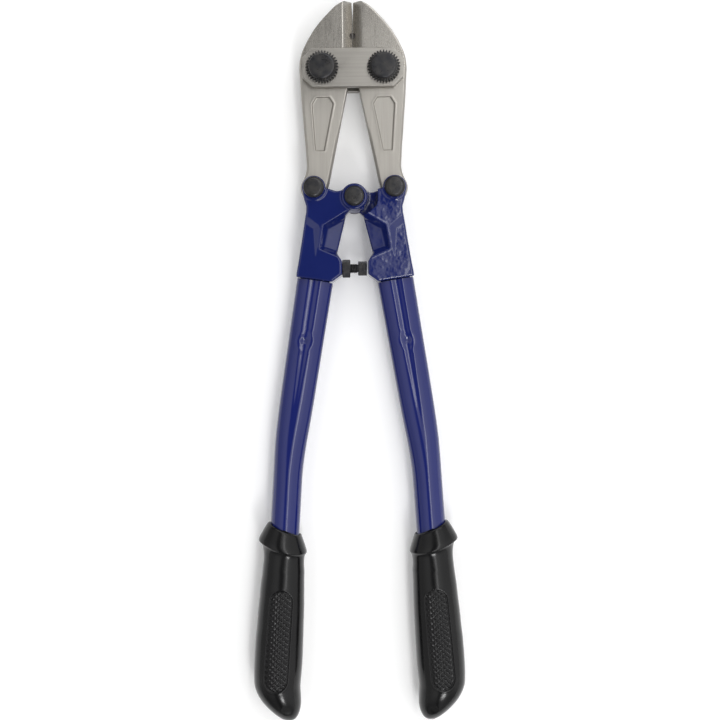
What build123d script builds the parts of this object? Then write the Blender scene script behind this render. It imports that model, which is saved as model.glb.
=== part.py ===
from build123d import *
import math
import os

# Bolt cutters, nominal size 450 mm: two forged jaws between two straps, two forged
# handle heads that form a toggle, steel tubes and moulded grips.
# Row frame, millimetres: +Y runs from the grips to the blade tips, +X to the right
# hand side, +Z up out of the surface that the closed tool lies on. The origin is the
# centre of the closed tool's footprint, at that surface.

os.makedirs("parts", exist_ok=True)

# ---------------------------------------------------------------- driving dimensions
overall_length = 450.0
tip_y = overall_length / 2
z_mid = 15.0            # middle plane of the jaws, heads, tubes and grips

jaw_t = 12.0            # jaw plate thickness
strap_t = 4.0           # each strap
face_gap = 0.05         # running gap between jaw faces and straps
head_t = 20.1           # handle head, over both ears
slot_w = 12.2           # gap between the ears, for the jaw tail
z_front = z_mid + head_t / 2
z_rear = z_mid - head_t / 2

A = (19.1, 182.3)       # jaw pivot, right-hand side; the left one mirrors it
B = (25.2, 108.1)       # tail pivot, between jaw and handle head
C = (0.0, 102.2)        # centre pivot, between the two handle heads

jaw_bolt_d = 10.0
pivot_bolt_d = 8.0
thread_d = 8.0
run_clear = 0.05        # radial running clearance in every pivot bore

tail_r = 8.2            # round end of the jaw tail
ear_r = 7.3             # front and rear ears of the handle head
root_r = 9.0            # round root of the slot between the ears
lap_r_base, lap_r_top = 9.4, 7.8   # drafted round lap at the centre pivot
boss_h = 1.45           # raised boss on the front lap

washer_t, nut_af, nut_t = 1.0, 13.0, z_rear - 1.0

strap_half, strap_y0, strap_y1, strap_corner = 31.4, 170.2, 194.7, 6.1

stop_y = 58.15          # axis of the stop screw
stop_face_x = 8.05      # each head's flat face beside it
stop_d, stop_len = 6.0, 25.0
stop_head_af, stop_head_l = 8.0, 5.6
stop_head_x = 1.85      # underside of the stop screw's head
locknut_af, locknut_t = 10.0, 5.0

tube_wall = 1.6
grip_seat_y = -206.0    # lower end of the tube, inside the grip

# The centre pivot is where the five-bar linkage is opened, so the rear lap has a
# slot that the centre bolt can wander in while the joints run at fixed ratios.
open_deg = 50.0         # each handle's swing
link = math.hypot(B[0] - C[0], B[1] - C[1])
phi0 = math.atan2(B[1] - C[1], B[0] - C[0])
arm = math.hypot(B[0] - A[0], A[1] - B[1])
psi0 = math.asin((B[0] - A[0]) / arm)
psi1 = math.asin((link * math.cos(phi0 + math.radians(open_deg)) - A[0]) / arm)
jaw_open_deg = math.degrees(psi0 - psi1)


def wander():
    """Where the centre bolt, carried by the left head, lies in the right head's own frame over the swing, relative to that head's centre bore."""
    out = []
    for i in range(0, 26):
        s = i / 25.0
        th, dl = math.radians(open_deg) * s, math.radians(jaw_open_deg) * s
        bx = A[0] + arm * math.sin(psi0 - dl)
        cx = bx - link * math.cos(phi0 + th)       # right head's bore, beside the middle plane
        gap = -2 * cx                              # from the right head's bore to the left head's
        out.append((gap * math.cos(th), -gap * math.sin(th)))
    return out


# ---------------------------------------------------------------- helpers
def prism(pts, z0, z1):
    return Pos(0, 0, z0) * extrude(make_face(Polyline(*pts, close=True)), z1 - z0)


def rod(x, y, r, z0, z1):
    return Pos(x, y, (z0 + z1) / 2) * Cylinder(r, z1 - z0)


def cone(x, y, r0, r1, z0, z1):
    return Pos(x, y, (z0 + z1) / 2) * Cone(r0, r1, z1 - z0)


def hexagon(x, y, af, z0, z1, turn=0.0):
    return Pos(x, y, z0) * extrude(
        RegularPolygon(af / 2, 6, major_radius=False, rotation=turn), z1 - z0
    )


def pocket(top, bottom, z_top, z_bottom):
    """Sloped-wall recess, from polygon top at z_top to polygon bottom at z_bottom."""
    lower = Pos(0, 0, z_bottom) * make_face(Polyline(*bottom, close=True))
    upper = Pos(0, 0, z_top) * make_face(Polyline(*top, close=True))
    return loft([lower, upper], ruled=True)


def tidy_bevel(part, edges, size):
    """Bevels the edges if the kernel can; a rounded forging edge is not worth a broken solid."""
    try:
        done = chamfer(edges, size)
        if done.is_valid and 0.5 * part.volume < done.volume < part.volume:
            return done
    except Exception:
        pass
    print("bevel left out", size)
    return part


def both(make):
    """The right-hand solid and its mirror."""
    right = make()
    return mirror(right, about=Plane.YZ), right


def save(shape, name):
    solids = shape.solids()
    export_step(solids[0] if len(solids) == 1 else Compound(children=list(solids)), f"parts/{name}.step")
    print(name, len(solids), round(sum(s.volume for s in solids)), shape.is_valid)


def blank_hull(points, r, z0, z1):
    """A disc of radius r swept through the points."""
    out = None
    for i, (x, y) in enumerate(points):
        d = rod(x, y, r, z0, z1)
        out = d if out is None else out + d
        if i:
            px, py = points[i - 1]
            n = math.hypot(x - px, y - py)
            if n > 1e-6:
                ux, uy = (x - px) / n * r, (y - py) / n * r
                out += prism([(px - uy, py + ux), (x - uy, y + ux), (x + uy, y - ux), (px + uy, py - ux)], z0, z1)
    return out


# ---------------------------------------------------------------- jaws
def jaw():
    z0, z1 = z_mid - jaw_t / 2, z_mid + jaw_t / 2
    nose = Spline((4.7, tip_y), (9.9, 222.5), (16.5, 216.2), (21.9, 209.9), (26.2, 203.7),
                  (29.7, 197.4), (32.3, 191.1), (33.4, 185.0), (33.5, 180.0))
    back = Polyline((33.5, 180.0), (32.4, 163.0), (30.1, 134.3), (29.4, 125.0), (29.6, 119.5), (30.9, 114.5),
                    (32.6, 111.8), (25.2, 103.0), (17.2, 106.0), (16.75, 107.0), (4.1, 168.0), (2.2, 176.0), (0.7, 184.0), (0.04, 190.0),
                    (0.04, 213.6), (0.55, tip_y), (4.7, tip_y))
    blade = Pos(0, 0, z0) * extrude(make_face(nose + back), jaw_t)
    blade += rod(B[0], B[1], tail_r, z0, z1)
    outer = [e for e in blade.edges()
             if (abs(e.center().Z - z0) < 1e-3 or abs(e.center().Z - z1) < 1e-3)
             and e.center().X > 8 and e.length > 9.5 and e.center().X > 28 and e.center().Y > 126]
    blade = tidy_bevel(blade, outer, 1.2)
    # the cutting edge's grind, on both faces, and the round relief at its root
    w, land = 6.0, 0.45
    k = (jaw_t / 2 - land) / w
    for s in (1, -1):
        grind = [(-0.5, z_mid + s * (land - 0.5 * k)), (w, z_mid + s * jaw_t / 2), (w, z_mid + s * (jaw_t / 2 + 1)), (-0.5, z_mid + s * (jaw_t / 2 + 1))]
        face = make_face(Polyline(*[(x, 0, z) for x, z in grind], close=True))
        blade -= Pos(0, 197.0, 0) * extrude(face, 30, dir=(0, 1, 0))
    blade -= rod(0, 203.9, 1.8, z0 - 1, z1 + 1)
    # recessed panels in both faces of the arm
    top = [(15.0, 164.6), (23.2, 164.6), (25.9, 160.4), (24.0, 131.4), (18.3, 131.4), (12.5, 160.6)]
    low = [(15.2, 164.1), (22.9, 164.1), (25.4, 160.2), (23.6, 131.9), (18.7, 131.9), (13.1, 160.5)]
    for s in (1, -1):
        f = z_mid + s * jaw_t / 2
        blade -= pocket(top, low, f, f - s * 0.7)
    blade -= rod(A[0], A[1], jaw_bolt_d / 2 + run_clear, z0 - 1, z1 + 1)
    blade -= rod(B[0], B[1], pivot_bolt_d / 2 + run_clear, z0 - 1, z1 + 1)
    return blade


jaw_left, jaw_right = both(jaw)
save(jaw_left, "jaw_left")
save(jaw_right, "jaw_right")


# ---------------------------------------------------------------- straps
def strap(z0):
    h, c = strap_half, strap_corner
    p = prism([(-h + c, strap_y0), (h - c, strap_y0), (h, strap_y0 + c), (h, strap_y1 - c), (h - c, strap_y1),
               (-h + c, strap_y1), (-h, strap_y1 - c), (-h, strap_y0 + c)], z0, z0 + strap_t)
    rim = [e for e in p.edges() if abs(e.center().Z - (z0 + (strap_t if z0 > z_mid else 0))) < 1e-3]
    p = tidy_bevel(p, rim, 0.5)
    for s in (1, -1):
        p -= rod(s * A[0], A[1], jaw_bolt_d / 2 + run_clear, z0 - 1, z0 + strap_t + 1)
    return p


strap_front_z = z_mid + jaw_t / 2 + face_gap
strap_rear_z = z_mid - jaw_t / 2 - face_gap - strap_t
save(strap(strap_front_z), "front_strap")
save(strap(strap_rear_z), "rear_strap")


# ---------------------------------------------------------------- jaw pivot bolts with toothed heads
def jaw_bolt():
    z = strap_front_z + strap_t
    n, r_out, r_in = 32, 10.2, 8.9
    ring = []
    for i in range(n):
        a = 2 * math.pi * i / n
        w = 2 * math.pi / n
        for da, r in ((-0.30, r_in), (-0.13, r_out), (0.13, r_out), (0.30, r_in)):
            ring.append((A[0] + r * math.cos(a + da * w), A[1] + r * math.sin(a + da * w)))
    b = prism(ring, z, z + 3.2)
    b += cone(A[0], A[1], 8.9, 8.3, z + 3.2, z + 5.0)
    b += cone(A[0], A[1], 8.3, 7.3, z + 5.0, z + 5.9)
    b += rod(A[0], A[1], jaw_bolt_d / 2, z_rear, z)
    b += rod(A[0], A[1], thread_d / 2, 0.5, z_rear)
    return b


def pivot_bolt():
    z = z_front
    b = rod(B[0], B[1], 6.5, z, z + 2.2) + cone(B[0], B[1], 6.5, 5.3, z + 2.2, z + 3.4)
    b += rod(B[0], B[1], pivot_bolt_d / 2, 0.5, z)
    return b


for name, make in (("jaw_bolt", jaw_bolt), ("tail_bolt", pivot_bolt)):
    l, r = both(make)
    save(l, name + "_left")
    save(r, name + "_right")

zc = z_front + boss_h
centre_bolt = rod(C[0], C[1], 6.2, zc, zc + 3.0) + cone(C[0], C[1], 6.2, 5.4, zc + 3.0, zc + 3.8)
centre_bolt += rod(C[0], C[1], pivot_bolt_d / 2, 0.5, zc)
save(centre_bolt, "centre_bolt")


def washer(x, y, r):
    return rod(x, y, r, z_rear - washer_t, z_rear) - rod(x, y, thread_d / 2 + 0.2, 0, z_rear + 1)


def nut(x, y, turn):
    n = hexagon(x, y, nut_af, 0, nut_t, turn)
    # corners turned off at 30 degrees on the outer face
    n &= cone(x, y, nut_af / 2 - 0.15, nut_af / 2 + 1.9, 0, 1.15) + rod(x, y, nut_af, 1.15, nut_t)
    return n - rod(x, y, thread_d / 2 + 0.02, -1, nut_t + 1)


for side, s in (("left", -1), ("right", 1)):
    save(washer(s * A[0], A[1], 8.0), f"jaw_washer_{side}")
    save(nut(s * A[0], A[1], 12 * s), f"jaw_nut_{side}")
    save(washer(s * B[0], B[1], 7.2), f"tail_washer_{side}")
    save(nut(s * B[0], B[1], 25 * s), f"tail_nut_{side}")
save(washer(C[0], C[1], 8.6), "centre_washer")
save(nut(C[0], C[1], 7), "centre_nut")


# ---------------------------------------------------------------- handle heads
upper_dir = math.atan(0.1624)           # lean of the upper tube
tube_x0, tube_y0 = 27.2, 38.4           # a point on its axis


def upper_axis(y):
    return tube_x0 + (tube_y0 - y) * math.tan(upper_dir)


def ellipse_at(x, y, lean, w, t):
    """Elliptical section across the tube; lean is the axis's angle from -Y towards +X."""
    d = (math.sin(lean), -math.cos(lean), 0)
    across = (math.cos(lean), math.sin(lean), 0)
    return Plane(origin=(x, y, z_mid), x_dir=across, z_dir=d) * Ellipse(w / 2, t / 2)


def head():
    outline = [(0, 107.6), (6.5, 107.4), (8.5, 106.3), (10.9, 105.9), (13.5, 106.6), (17.0, 108.2), (25.2, 108.1),
               (31.7, 104.8), (31.0, 100.5), (29.95, 96.6), (30.1, 92.8), (30.8, 89.1), (31.5, 85.3), (32.6, 77.9),
               (33.8, 70.4), (35.0, 62.9), (36.3, 55.8), (36.75, 52.9), (14.2, 49.5), (stop_face_x, 54.2),
               (stop_face_x, 62.1), (11.3, 67.6), (5.5, 91.0), (3.5, 93.4), (0, 93.4)]
    body = prism(outline, z_rear, z_front)
    rim = [e for e in body.edges()
           if (abs(e.center().Z - z_rear) < 1e-3 or abs(e.center().Z - z_front) < 1e-3)
           and (e.center().Y < 92 and (e.center().X > 28 or (e.center().Y < 68 and e.center().X < 11.4)))]
    body = tidy_bevel(body, rim, 1.1)
    body += rod(B[0], B[1], ear_r, z_rear, z_front)
    # sloped recesses beside the inner edge, and the tapered groove beside the outer edge, on both faces
    outer_top = [(4.8, 93.0), (18.5, 84.6), (20.9, 69.9), (11.5, 65.6), (4.0, 62.2), (0.0, 80.0)]
    outer_low = [(5.2, 91.0), (16.9, 83.6), (19.1, 71.0), (12.0, 67.6), (4.0, 64.0), (0.0, 80.0)]
    inner_top = [(8.2, 86.2), (16.0, 80.9), (17.9, 72.0), (12.4, 69.2), (4.0, 66.0), (2.0, 80.0)]
    inner_low = [(8.4, 85.0), (15.4, 80.3), (17.1, 72.6), (12.6, 70.3), (4.0, 67.0), (2.0, 80.0)]
    groove_top = [(33.5, 88.0), (28.9, 89.7), (22.6, 84.8), (21.9, 82.8), (24.3, 67.0), (26.3, 78.8), (27.7, 83.3), (30.2, 83.9), (34.5, 79.0)]
    groove_low = [(33.5, 87.0), (29.0, 88.6), (23.6, 84.2), (23.0, 82.4), (24.3, 70.0), (26.0, 79.4), (27.4, 84.2), (30.5, 84.9), (34.5, 80.5)]
    for s, f in ((1, z_front), (-1, z_rear)):
        body -= pocket(outer_top, outer_low, f, f - s * 3.4)
        body -= pocket(inner_top, inner_low, f - s * 3.4, f - s * 4.6)
        body -= pocket(groove_top, groove_low, f, f - s * 0.9)
    # the slot that the jaw tail turns in
    body -= rod(B[0], B[1], root_r, z_mid - slot_w / 2, z_mid + slot_w / 2)
    body -= prism([(B[0] - 9.0, B[1]), (B[0] + 12, B[1]), (B[0] + 12, B[1] + 12), (B[0] - 9.0, B[1] + 12)],
                  z_mid - slot_w / 2, z_mid + slot_w / 2)
    body -= rod(B[0], B[1], pivot_bolt_d / 2 + run_clear, 0, 40)
    # the tang inside the tube
    y0, y1 = 55.0, 1.0
    tang = loft([ellipse_at(upper_axis(y0), y0, upper_dir, 19.2, 11.0), ellipse_at(upper_axis(y1), y1, upper_dir, 18.2, 11.6)], ruled=True)
    body += tang
    for s in (1, -1):
        body -= rod(upper_axis(12.5), 12.5, 2.6, z_mid + (3.8 if s > 0 else -8), z_mid + (8 if s > 0 else -3.8))
    return body


path = wander()
lap_clear = 0.4


def right_head():
    h = head()
    # the front half makes room for the left head's lap
    h -= prism([(-20, 94.4), (14.8, 94.4), (14.8, 125), (-20, 125)], z_mid - 0.05, 40)
    h -= blank_hull([(C[0] + x, C[1] + y) for x, y in path[::3] + [path[-1]]], lap_r_base + lap_clear, z_mid - 0.05, 40)
    h += cone(C[0], C[1], lap_r_top + 0.3, lap_r_base, z_rear, z_mid - 0.05)
    h -= blank_hull([(C[0] + x, C[1] + y) for x, y in path], pivot_bolt_d / 2 + 0.3, 0, z_mid + 1)
    return h


def left_head():
    h = head()
    # the rear half makes room for the right head's lap
    h -= prism([(-20, 94.4), (14.8, 94.4), (14.8, 125), (-20, 125)], -5, z_mid + 0.05)
    h -= blank_hull([(C[0] + x, C[1] + y) for x, y in path[::3] + [path[-1]]], lap_r_base + lap_clear, -5, z_mid + 0.05)
    h += cone(C[0], C[1], lap_r_base, lap_r_top, z_mid + 0.05, zc)
    h -= rod(C[0], C[1], pivot_bolt_d / 2 + 0.02, 0, 40)
    # threaded hole for the stop screw
    h -= Pos(stop_face_x + 10.2, stop_y, z_mid) * Rot(0, 90, 0) * Cylinder(stop_d / 2 + 0.02, 21)
    return mirror(h, about=Plane.YZ)


save(left_head(), "handle_head_left")
save(right_head(), "handle_head_right")

# ---------------------------------------------------------------- stop screw and its locknut
screw = Pos(stop_head_x - stop_len / 2, stop_y, z_mid) * Rot(0, 90, 0) * Cylinder(stop_d / 2, stop_len)
hexa = Plane(origin=(stop_head_x, stop_y, z_mid), x_dir=(0, 1, 0), z_dir=(1, 0, 0)) * RegularPolygon(stop_head_af / 2, 6, major_radius=False, rotation=0)
screw += extrude(hexa, stop_head_l)
save(screw, "stop_screw")
lock = Plane(origin=(-stop_face_x + 0.02, stop_y, z_mid), x_dir=(0, 1, 0), z_dir=(1, 0, 0)) * RegularPolygon(locknut_af / 2, 6, major_radius=False, rotation=0)
locknut = extrude(lock, locknut_t) - Pos(0, stop_y, z_mid) * Rot(0, 90, 0) * Cylinder(stop_d / 2 + 0.03, 40)
save(locknut, "stop_locknut")

# ---------------------------------------------------------------- tubes
lower_dir = math.atan(0.0647)
knee = (42.8, -57.7)
tube_top_y = 50.6


def tube_axis(y):
    """Axis point and lean at height y: straight, a long gentle bend, straight."""
    reach = 15.5
    ya, yb = knee[1] + reach * math.cos(upper_dir), knee[1] - reach * math.cos(lower_dir)
    if y >= ya:
        return knee[0] - (y - knee[1]) * math.tan(upper_dir), upper_dir
    if y <= yb:
        return knee[0] + (knee[1] - y) * math.tan(lower_dir), lower_dir
    t = (ya - y) / (ya - yb)
    xa, xb = knee[0] - (ya - knee[1]) * math.tan(upper_dir), knee[0] + (knee[1] - yb) * math.tan(lower_dir)
    x = (1 - t) ** 2 * xa + 2 * t * (1 - t) * knee[0] + t * t * xb
    return x, upper_dir + t * (lower_dir - upper_dir)


sections = [(tube_top_y, 22.8, 14.6), (31.0, 22.4, 14.9), (12.0, 22.0, 15.2), (-7.0, 21.7, 15.5), (-25.0, 21.3, 15.9), (-37.0, 20.8, 16.4),
            (-46.0, 20.2, 16.9), (-54.0, 19.5, 17.4), (-62.0, 18.8, 17.9), (-70.0, 18.3, 18.3), (-74.0, 18.3, 18.3)]


def tube():
    def skin(inset):
        ends = []
        for y, w, t in sections:
            x, lean = tube_axis(y)
            ends.append(ellipse_at(x, y, lean, w - 2 * inset, t - 2 * inset))
        upper = loft(ends, ruled=True)
        y0 = sections[-1][0]
        x0, lean = tube_axis(y0)
        length = (y0 - grip_seat_y) / math.cos(lean)
        lower = extrude(ends[-1], length, dir=(math.sin(lean), -math.cos(lean), 0))
        return upper + lower
    outer = skin(0)
    inner = skin(tube_wall)
    t = outer - inner
    for s in (1, -1):
        t -= Pos(upper_axis(12.5), 12.5, z_mid + s * (7.6 + 4.6)) * Sphere(5.5)
    return t


tube_left, tube_right = both(tube)
save(tube_left, "tube_left")
save(tube_right, "tube_right")


# ---------------------------------------------------------------- grips
def grip():
    def ring(outer, inner, depth):
        (xo, yo), (xi, yi) = outer, inner
        c = ((xo + xi) / 2, (yo + yi) / 2, z_mid)
        w = math.hypot(xo - xi, yo - yi)
        across = ((xo - xi) / w, (yo - yi) / w, 0)
        normal = (across[1], -across[0], 0)
        return Plane(origin=c, x_dir=across, z_dir=normal) * Ellipse(w / 2, depth)
    rim = ring((56.5, -100.2), (36.4, -108.4), 11.2)
    wide = ring((62.5, -110.8), (32.4, -119.3), 15.0)
    neck = ring((59.6, -122.0), (33.8, -127.2), 13.2)
    rows = [((60.3, -131.0), (33.8, -133.5), 13.4), ((61.4, -139.0), (34.1, -139.5), 13.7), ((62.8, -151.0), (34.3, -151.0), 14.1), ((64.5, -168.0), (34.8, -168.0), 14.6),
            ((65.6, -181.0), (35.3, -181.0), 14.9), ((66.3, -194.0), (36.0, -194.0), 15.0), ((66.4, -200.0), (36.5, -200.5), 14.9),
            ((65.0, -206.4), (37.1, -207.0), 14.2), ((61.5, -212.8), (36.9, -213.5), 12.4), ((57.0, -217.4), (37.4, -217.8), 10.2),
            ((53.0, -220.8), (38.8, -221.2), 7.4), ((48.5, -224.7), (41.0, -224.9), 3.0)]
    g = loft([rim, wide], ruled=True)
    g += loft([wide, neck] + [ring(*r) for r in rows], ruled=True)
    x0, lean = tube_axis(-90.0)
    length = (-90.0 - grip_seat_y + 0.4) / math.cos(lean)
    bore = extrude(ellipse_at(x0, -90.0, lean, 18.3 + 0.04, 18.3 + 0.04), length, dir=(math.sin(lean), -math.cos(lean), 0))
    return g - bore


grip_left, grip_right = both(grip)
save(grip_left, "grip_left")
save(grip_right, "grip_right")

print("link", link, "phi0", math.degrees(phi0), "arm", arm, "psi0", math.degrees(psi0))
print("jaw opens", jaw_open_deg, "deg; tail joint turns", open_deg + jaw_open_deg, "deg")
print("centre wander", max(path, key=lambda p: math.hypot(*p)))
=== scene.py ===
import math

import bpy
import numpy as np
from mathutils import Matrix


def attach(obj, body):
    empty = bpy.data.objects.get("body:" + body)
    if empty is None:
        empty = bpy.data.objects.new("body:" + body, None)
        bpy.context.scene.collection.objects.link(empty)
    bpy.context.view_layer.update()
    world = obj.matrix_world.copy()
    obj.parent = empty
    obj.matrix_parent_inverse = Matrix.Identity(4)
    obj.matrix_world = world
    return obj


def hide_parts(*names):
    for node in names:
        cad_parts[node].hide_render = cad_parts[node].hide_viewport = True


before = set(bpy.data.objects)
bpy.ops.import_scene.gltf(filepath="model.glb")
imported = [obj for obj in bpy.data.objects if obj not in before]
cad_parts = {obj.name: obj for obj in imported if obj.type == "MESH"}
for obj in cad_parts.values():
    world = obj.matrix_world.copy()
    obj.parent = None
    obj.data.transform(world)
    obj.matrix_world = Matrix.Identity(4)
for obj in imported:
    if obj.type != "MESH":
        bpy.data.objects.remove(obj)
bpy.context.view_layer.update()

# Bolt cutters. All shapes are worked out in millimetres in the row frame and scaled to metres.
MM = 0.001
ZM = 15.0
A = (19.1, 182.3)
B = (25.2, 108.1)
C = (0.0, 102.2)


# ---------------------------------------------------------------- meshes from arrays
def mesh_object(name, verts, faces, material, flip=False):
    """A smooth-shaded mesh object; verts in millimetres, faces an (n, 4) array or a list of tuples."""
    me = bpy.data.meshes.new(name)
    verts = np.asarray(verts, float) * MM
    if flip:
        verts = verts * np.array([-1.0, 1.0, 1.0])
    if isinstance(faces, np.ndarray):
        if flip:
            faces = faces[:, ::-1]
        n, k = faces.shape
        me.vertices.add(len(verts))
        me.vertices.foreach_set("co", verts.astype(np.float32).ravel())
        me.loops.add(n * k)
        me.loops.foreach_set("vertex_index", faces.astype(np.int32).ravel())
        me.polygons.add(n)
        me.polygons.foreach_set("loop_start", (np.arange(n) * k).astype(np.int32))
        me.polygons.foreach_set("loop_total", np.full(n, k, np.int32))
    else:
        if flip:
            faces = [tuple(reversed(f)) for f in faces]
        me.from_pydata([tuple(v) for v in verts], [], faces)
    me.update(calc_edges=True)
    me.validate()
    for p in me.polygons:
        p.use_smooth = True
    me.materials.append(material)
    ob = bpy.data.objects.new(name, me)
    bpy.context.scene.collection.objects.link(ob)
    return ob


def sharpen(ob, angle):
    """Splits the shading across edges sharper than the angle."""
    ob.data.set_sharp_from_angle(angle=math.radians(angle))


# ---------------------------------------------------------------- distance fields
def poly(points, x, y):
    """Signed distance to a closed polygon in the plane, negative inside."""
    d = None
    s = 1.0
    n = len(points)
    for i in range(n):
        ax, ay = points[i]
        bx, by = points[i - 1]
        ex, ey = bx - ax, by - ay
        wx, wy = x - ax, y - ay
        t = np.clip((wx * ex + wy * ey) / (ex * ex + ey * ey), 0.0, 1.0)
        px, py = wx - ex * t, wy - ey * t
        q = px * px + py * py
        d = q if d is None else np.minimum(d, q)
        c1, c2, c3 = y >= ay, y < by, ex * wy > ey * wx
        s = np.where((c1 & c2 & c3) | (~c1 & ~c2 & ~c3), -s, s)
    return s * np.sqrt(d)


def meet(a, b, r):
    """Intersection with a rounded edge of radius r."""
    return np.minimum(-r, np.maximum(a, b)) + np.hypot(np.maximum(a + r, 0), np.maximum(b + r, 0))


def join(a, b, r):
    """Union with a fillet of radius r."""
    return np.maximum(r, np.minimum(a, b)) - np.hypot(np.maximum(r - a, 0), np.maximum(r - b, 0))


def bevel(a, b, r):
    """Intersection with a flat chamfer."""
    return np.maximum(np.maximum(a, b), (a + r + b) * math.sqrt(0.5))


def cut(a, b, r):
    """a without b, rounded."""
    return meet(a, -b, r)


def ramp(t, top):
    """0 below 0, rising with t, and softly held at top."""
    t = np.maximum(t, 0.0)
    k = 0.18 * top
    h = np.clip((t - (top - k)) / (2 * k), 0, 1)
    return np.where(t < top - k, t, np.where(t > top + k, top, t - k * h * h))


def fillet(points, radii, steps=7):
    """Rounds a polygon's corners; radii is one number, or one for each corner."""
    pts = [np.array(p, float) for p in points]
    n = len(pts)
    if np.isscalar(radii):
        radii = [radii] * n
    out = []
    for i in range(n):
        p, a, b = pts[i], pts[i - 1], pts[(i + 1) % n]
        u, v = a - p, b - p
        lu, lv = np.linalg.norm(u), np.linalg.norm(v)
        u, v = u / lu, v / lv
        half = math.acos(max(-1, min(1, float(u @ v)))) / 2
        if radii[i] <= 0 or half > math.radians(89):
            out.append(tuple(p))
            continue
        t = min(radii[i] / math.tan(half), 0.48 * lu, 0.48 * lv)
        p0, p1 = p + u * t, p + v * t
        for k in range(steps + 1):
            w = k / steps
            out.append(tuple((1 - w) ** 2 * p0 + 2 * w * (1 - w) * p + w * w * p1))
    return out


def spline(points, per=6):
    """Catmull-Rom curve through the points, open."""
    p = [np.array(q, float) for q in points]
    p = [2 * p[0] - p[1]] + p + [2 * p[-1] - p[-2]]
    out = []
    for i in range(1, len(p) - 2):
        for k in range(per):
            t = k / per
            out.append(0.5 * ((2 * p[i]) + (-p[i - 1] + p[i + 1]) * t + (2 * p[i - 1] - 5 * p[i] + 4 * p[i + 1] - p[i + 2]) * t * t
                              + (-p[i - 1] + 3 * p[i] - 3 * p[i + 1] + p[i + 2]) * t ** 3))
    out.append(p[-2])
    return [tuple(q) for q in out]


def surface(f, low, high, step):
    """Quads over f = 0 by surface nets, then each vertex is moved onto the surface."""
    low, high = np.array(low, float), np.array(high, float)
    n = np.ceil((high - low) / step).astype(int) + 1
    ax = [low[i] + step * np.arange(n[i]) for i in range(3)]
    v = f(ax[0][:, None, None], ax[1][None, :, None], ax[2][None, None, :])
    v = np.ascontiguousarray(np.broadcast_to(v, tuple(n)))
    s = v < 0
    c = np.zeros(tuple(n - 1), np.int8)
    for i in (0, 1):
        for j in (0, 1):
            for k in (0, 1):
                c += s[i:n[0] - 1 + i, j:n[1] - 1 + j, k:n[2] - 1 + k]
    active = (c > 0) & (c < 8)
    cells = np.argwhere(active)
    index = -np.ones(active.shape, np.int64)
    index[active] = np.arange(len(cells))
    total = np.zeros((len(cells), 3))
    count = np.zeros(len(cells))
    for axis in range(3):
        o = [a for a in range(3) if a != axis]
        for i in (0, 1):
            for j in (0, 1):
                p = cells.copy()
                p[:, o[0]] += i
                p[:, o[1]] += j
                q = p.copy()
                q[:, axis] += 1
                va, vb = v[tuple(p.T)], v[tuple(q.T)]
                m = (va < 0) != (vb < 0)
                t = np.where(m, va / np.where(m, va - vb, 1), 0)
                w = p.astype(float)
                w[:, axis] += t
                total[m] += w[m]
                count[m] += 1
    pts = low + step * total / count[:, None]
    quads = []
    for axis in range(3):
        b1, b2 = (axis + 1) % 3, (axis + 2) % 3
        lo_, hi_ = [slice(None)] * 3, [slice(None)] * 3
        lo_[axis], hi_[axis] = slice(0, -1), slice(1, None)
        e0, e1 = s[tuple(lo_)], s[tuple(hi_)]
        cross = np.argwhere(e0 != e1)
        cross = cross[(cross[:, b1] > 0) & (cross[:, b1] < n[b1] - 1) & (cross[:, b2] > 0) & (cross[:, b2] < n[b2] - 1)]
        inside = e0[tuple(cross.T)]
        four = []
        for d1, d2 in ((-1, -1), (0, -1), (0, 0), (-1, 0)):
            q = cross.copy()
            q[:, b1] += d1
            q[:, b2] += d2
            four.append(index[tuple(q.T)])
        quad = np.stack(four, 1)
        quads.append(np.where(inside[:, None], quad, quad[:, ::-1]))
    quads = np.concatenate(quads)
    h = 0.02
    for _ in range(3):
        x, y, z = pts.T
        g = np.stack([f(x + h, y, z) - f(x - h, y, z), f(x, y + h, z) - f(x, y - h, z), f(x, y, z + h) - f(x, y, z - h)], 1) / (2 * h)
        g2 = np.maximum((g * g).sum(1), 0.05)
        move = g * (f(x, y, z) / g2)[:, None]
        far = np.linalg.norm(move, axis=1)
        pts = pts - move * np.minimum(1, 0.5 * step / np.maximum(far, 1e-9))[:, None]
    return pts, quads


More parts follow.
